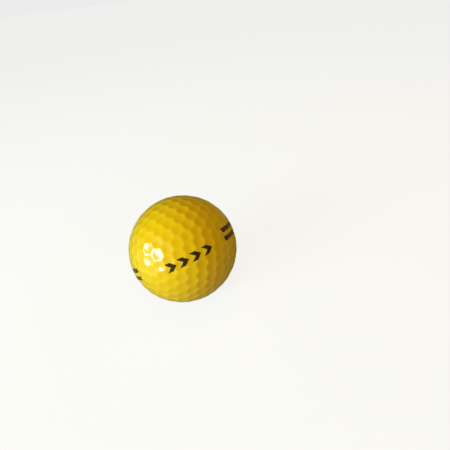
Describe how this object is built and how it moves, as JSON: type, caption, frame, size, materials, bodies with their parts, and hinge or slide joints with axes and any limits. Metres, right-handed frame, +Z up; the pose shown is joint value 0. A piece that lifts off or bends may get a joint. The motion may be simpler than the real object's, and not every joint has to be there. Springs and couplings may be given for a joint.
{
  "type": "golf ball",
  "caption": "Two-piece practice golf ball: a solid rubber core in a glossy yellow dimpled cover with black printed chevrons and paired stripes.",
  "frame": {"origin": "centre of the ball", "axes": "+Z up from the surface that the ball lies on, -Y towards the viewer, so that the printed chevrons face forward and up"},
  "size_m": [0.0427, 0.0426, 0.0426],
  "materials": {
    "cover": "yellow ionomer under a clear high-gloss topcoat",
    "ink": "black pad-printed ink under the same topcoat",
    "core_rubber": "matt ground rubber"
  },
  "bodies": {
    "root": {"core": "core_rubber", "cover_upper_half": "cover", "cover_lower_half": "cover", "stripe_right_upper": "ink", "stripe_right_lower": "ink", "stripe_left_upper": "ink", "stripe_left_lower": "ink", "chevron_front_1": "ink", "chevron_front_2": "ink", "chevron_front_3": "ink", "chevron_front_4": "ink", "chevron_back_1": "ink", "chevron_back_2": "ink", "chevron_back_3": "ink", "chevron_back_4": "ink"}
  },
  "joints": []
}
